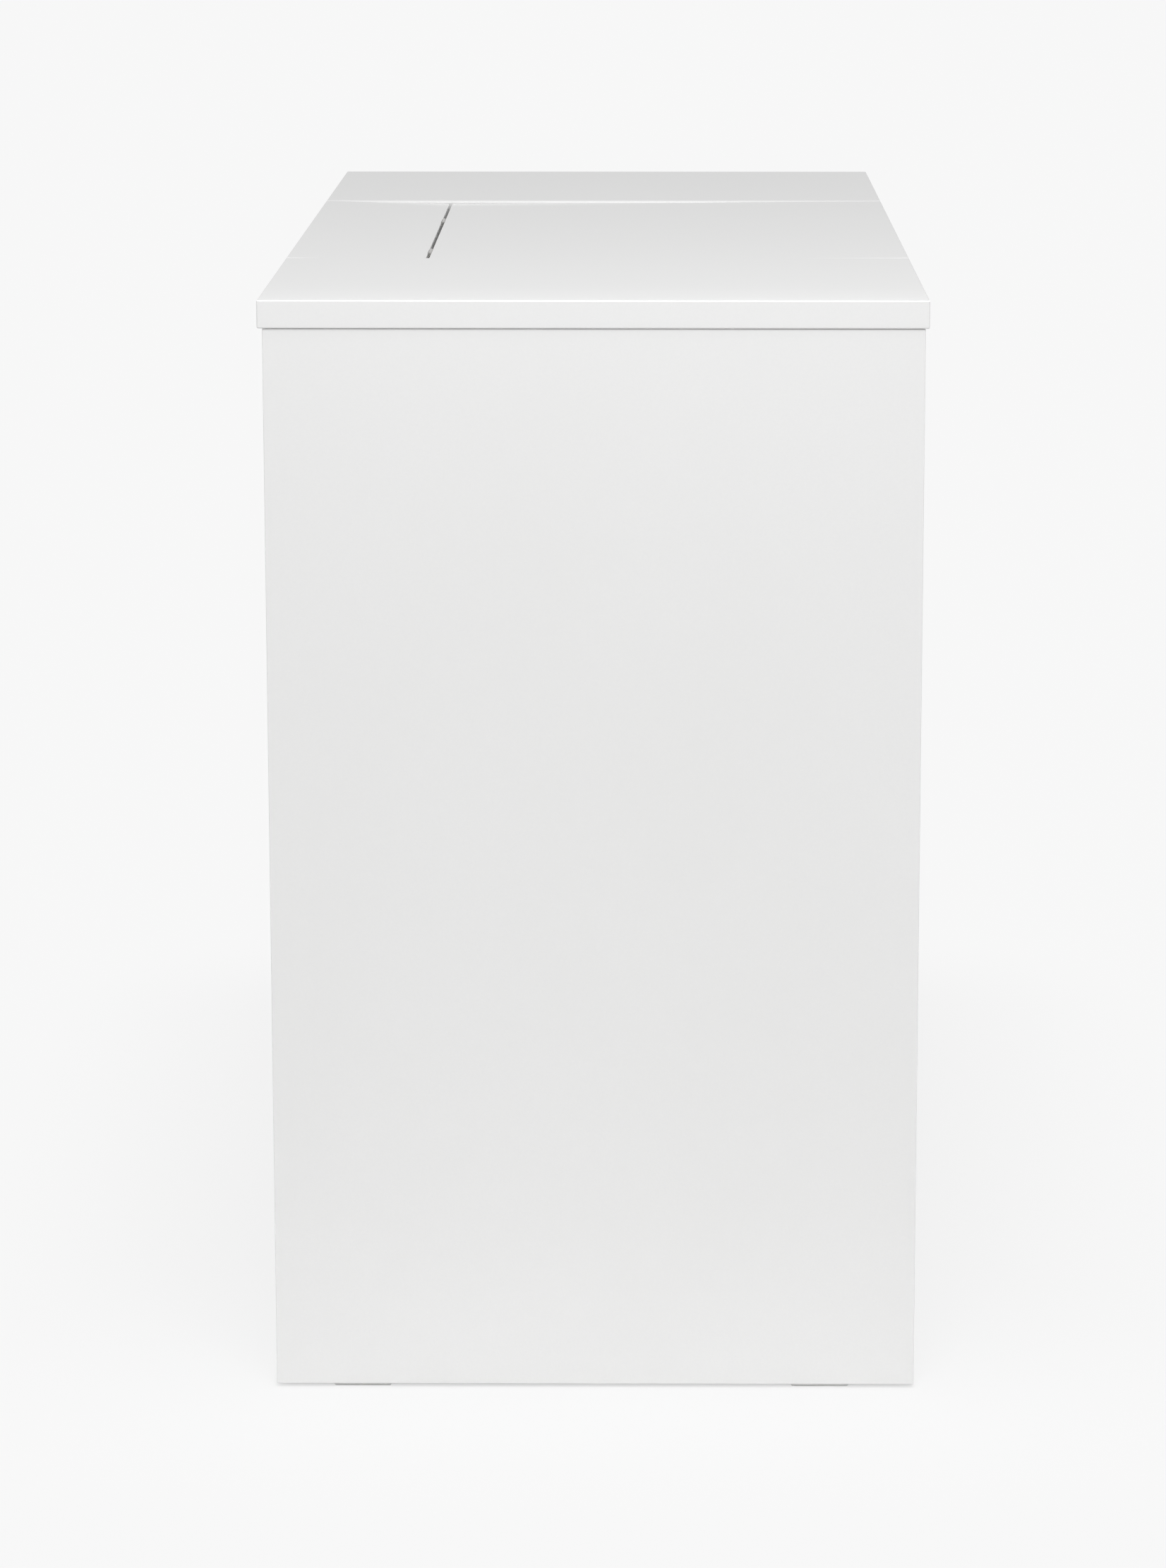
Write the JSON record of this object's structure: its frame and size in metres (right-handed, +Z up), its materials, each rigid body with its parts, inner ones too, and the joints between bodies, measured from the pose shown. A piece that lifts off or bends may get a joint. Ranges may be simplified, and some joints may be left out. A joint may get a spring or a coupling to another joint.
{
  "type": "trash compactor",
  "caption": "Trash compactor in a white three-bay cabinet: hinged lid over the controls, pull-out bin drawer and a screw-driven ram.",
  "frame": {"origin": "centre of the footprint, on the floor", "axes": "+X towards the user's side, where the drawer and doors open; +Y along the worktop, from the near end panel to the far one; +Z up"},
  "size_m": [0.5165, 1.016, 0.876],
  "materials": {
    "lacquered_board": "white satin lacquer on fibreboard",
    "glide_plastic": "moulded, matt",
    "hinge_steel": "nickel plated, satin",
    "zinc_steel": "zinc plated",
    "machined_steel": "machined and oiled",
    "chain_steel": "rolled, oiled",
    "bronze": "turned bearing bronze",
    "cast_alloy": "cast, sand texture",
    "motor_paint": "black enamel",
    "ram_paint": "grey powder coat",
    "ram_steel": "scuffed sheet steel",
    "bin_plastic": "moulded, fine grain",
    "ring_plastic": "moulded, matt",
    "pedal_paint": "grey powder coat",
    "well_plastic": "moulded, fine grain",
    "control_plastic": "moulded, matt",
    "start_plastic": "gloss",
    "stop_plastic": "gloss",
    "knob_plastic": "moulded, satin",
    "lens_plastic": "clear green lens",
    "filter_plastic": "moulded frame around charcoal"
  },
  "bodies": {
    "cabinet": {"end_panel_near": "lacquered_board", "end_panel_far": "lacquered_board", "partition_near": "lacquered_board", "partition_far": "lacquered_board", "bottom_panel": "lacquered_board", "back_panel": "lacquered_board", "plinth_front": "lacquered_board", "plinth_rear": "lacquered_board", "top_rails": "lacquered_board", "worktop_near": "lacquered_board", "worktop_far": "lacquered_board", "worktop_rear": "lacquered_board", "shelves": "lacquered_board", "glides": "glide_plastic", "lid_leaves_fixed": "hinge_steel", "lid_hinge_pins": "hinge_steel", "shelf_pins": "hinge_steel", "door_pins": "hinge_steel", "door_brackets": "zinc_steel", "frame_base": "zinc_steel", "frame_side_near": "zinc_steel", "frame_side_far": "zinc_steel", "power_head": "zinc_steel", "screw_bushes": "bronze", "bearing_brackets": "zinc_steel", "drive_chain": "chain_steel", "gearbox": "cast_alloy", "motor": "motor_paint", "rails_fixed": "zinc_steel", "pedal_bracket": "zinc_steel", "pedal_pin": "hinge_steel", "pedal_spring": "machined_steel", "control_well": "well_plastic", "control_box": "control_plastic", "status_lens": "lens_plastic", "filter_cassette": "filter_plastic", "power_inlet": "control_plastic"},
    "lid": {"lid": "lacquered_board", "lid_leaves_moving": "hinge_steel"},
    "drawer": {"drawer_front": "lacquered_board", "drawer_cradle": "zinc_steel", "bin": "bin_plastic", "bag_ring": "ring_plastic", "rails_drawer": "zinc_steel"},
    "slide_middles": {"rails_middle": "zinc_steel"},
    "ram": {"ram_beam": "ram_paint", "ram_column": "ram_paint", "ram_plate": "ram_steel", "ram_nuts": "bronze"},
    "near_screw": {"screw_near": "machined_steel", "sprocket_near": "machined_steel"},
    "far_screw": {"screw_far": "machined_steel", "sprocket_far": "machined_steel"},
    "motor_output": {"motor_sprocket": "machined_steel"},
    "near_door": {"door_near": "lacquered_board"},
    "far_door": {"door_far": "lacquered_board"},
    "pedal": {"pedal_lever": "pedal_paint"},
    "start": {"start_button": "start_plastic"},
    "stop": {"stop_button": "stop_plastic"},
    "knob": {"cycle_knob": "knob_plastic"}
  },
  "joints": [
    {"name": "lid_hinge", "type": "hinge", "parent": "cabinet", "child": "lid", "pos_m": [-0.142, 0, 0.8721], "axis": [0, -1, 0], "range_deg": [0, 95]},
    {"name": "drawer_slide", "type": "slide", "parent": "cabinet", "child": "drawer", "axis": [1, 0, 0], "range_m": [0, 0.42]},
    {"name": "slide_middles_slide", "type": "slide", "parent": "cabinet", "child": "slide_middles", "axis": [1, 0, 0], "range_m": [0, 0.21]},
    {"name": "ram_slide", "type": "slide", "parent": "cabinet", "child": "ram", "axis": [0, 0, 1], "range_m": [-0.28, 0]},
    {"name": "near_screw_turn", "type": "hinge", "parent": "cabinet", "child": "near_screw", "pos_m": [0.05, -0.1905, 0.5], "axis": [0, 0, 1], "range_deg": [-10080, 0]},
    {"name": "far_screw_turn", "type": "hinge", "parent": "cabinet", "child": "far_screw", "pos_m": [0.05, 0.1905, 0.5], "axis": [0, 0, 1], "range_deg": [-10080, 0]},
    {"name": "motor_turn", "type": "hinge", "parent": "cabinet", "child": "motor_output", "pos_m": [-0.09287, 0, 0.74], "axis": [0, 0, 1], "range_deg": [-10080, 0]},
    {"name": "near_door_hinge", "type": "hinge", "parent": "cabinet", "child": "near_door", "pos_m": [0.246, -0.4645, 0.45], "axis": [0, 0, -1], "range_deg": [0, 95]},
    {"name": "far_door_hinge", "type": "hinge", "parent": "cabinet", "child": "far_door", "pos_m": [0.246, 0.4645, 0.45], "axis": [0, 0, 1], "range_deg": [0, 95]},
    {"name": "pedal_hinge", "type": "hinge", "parent": "cabinet", "child": "pedal", "pos_m": [0.06, 0, 0.091], "axis": [0, 1, 0], "range_deg": [0, 7], "stiffness_Nm_per_rad": 3, "springref_deg": -17.19},
    {"name": "start_press", "type": "slide", "parent": "cabinet", "child": "start", "axis": [0, 0, -1], "range_m": [0, 0.003], "stiffness_N_per_m": 200, "springref_m": -0.003},
    {"name": "stop_press", "type": "slide", "parent": "cabinet", "child": "stop", "axis": [0, 0, -1], "range_m": [0, 0.003], "stiffness_N_per_m": 200, "springref_m": -0.003},
    {"name": "knob_turn", "type": "hinge", "parent": "cabinet", "child": "knob", "pos_m": [0.149, -0.1195, 0.84], "axis": [0, 0, -1], "range_deg": [0, 270]}
  ],
  "couplings": [
    {"joint": "slide_middles_slide", "follows": "drawer_slide", "ratio": 0.5},
    {"joint": "near_screw_turn", "follows": "ram_slide", "rad_per_m": 628.32},
    {"joint": "far_screw_turn", "follows": "ram_slide", "rad_per_m": 628.32},
    {"joint": "motor_turn", "follows": "ram_slide", "rad_per_m": 628.32}
  ]
}
